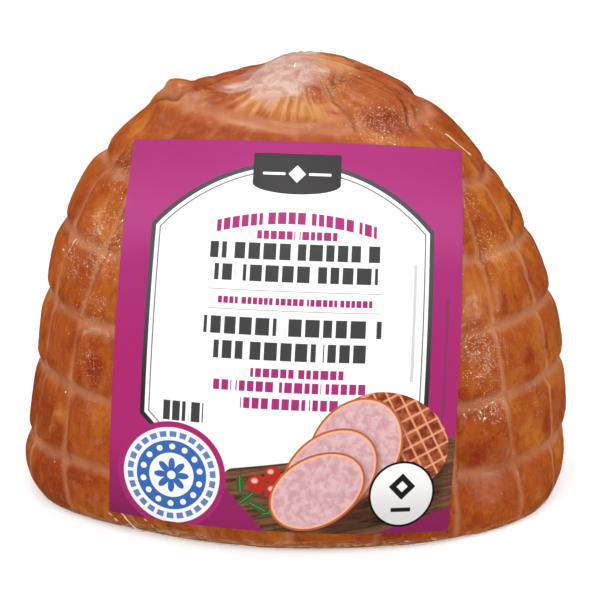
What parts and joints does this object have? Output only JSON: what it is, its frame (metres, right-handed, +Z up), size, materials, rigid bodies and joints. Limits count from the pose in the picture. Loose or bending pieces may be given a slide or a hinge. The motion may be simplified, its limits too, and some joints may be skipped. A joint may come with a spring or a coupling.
{
  "type": "smoked ham",
  "caption": "Boneless smoked ham half in tight clear film, domed above a flat cut face, with soft net marks all over and a wrap label on its front.",
  "frame": {"origin": "middle of the flat cut face that the ham stands on", "axes": "+Z up through the gathered end, -Y towards the front with the label, +X to the right as seen from the front"},
  "size_m": [0.1153, 0.1095, 0.0913],
  "materials": {
    "smoked_meat_in_film": "orange-brown smoked meat with pale pink net marks, seen through tight clear glossy film",
    "printed_label": "satin printed film, magenta with a white panel"
  },
  "bodies": {
    "root": {"packed_ham": "smoked_meat_in_film", "label": "printed_label"}
  },
  "joints": []
}
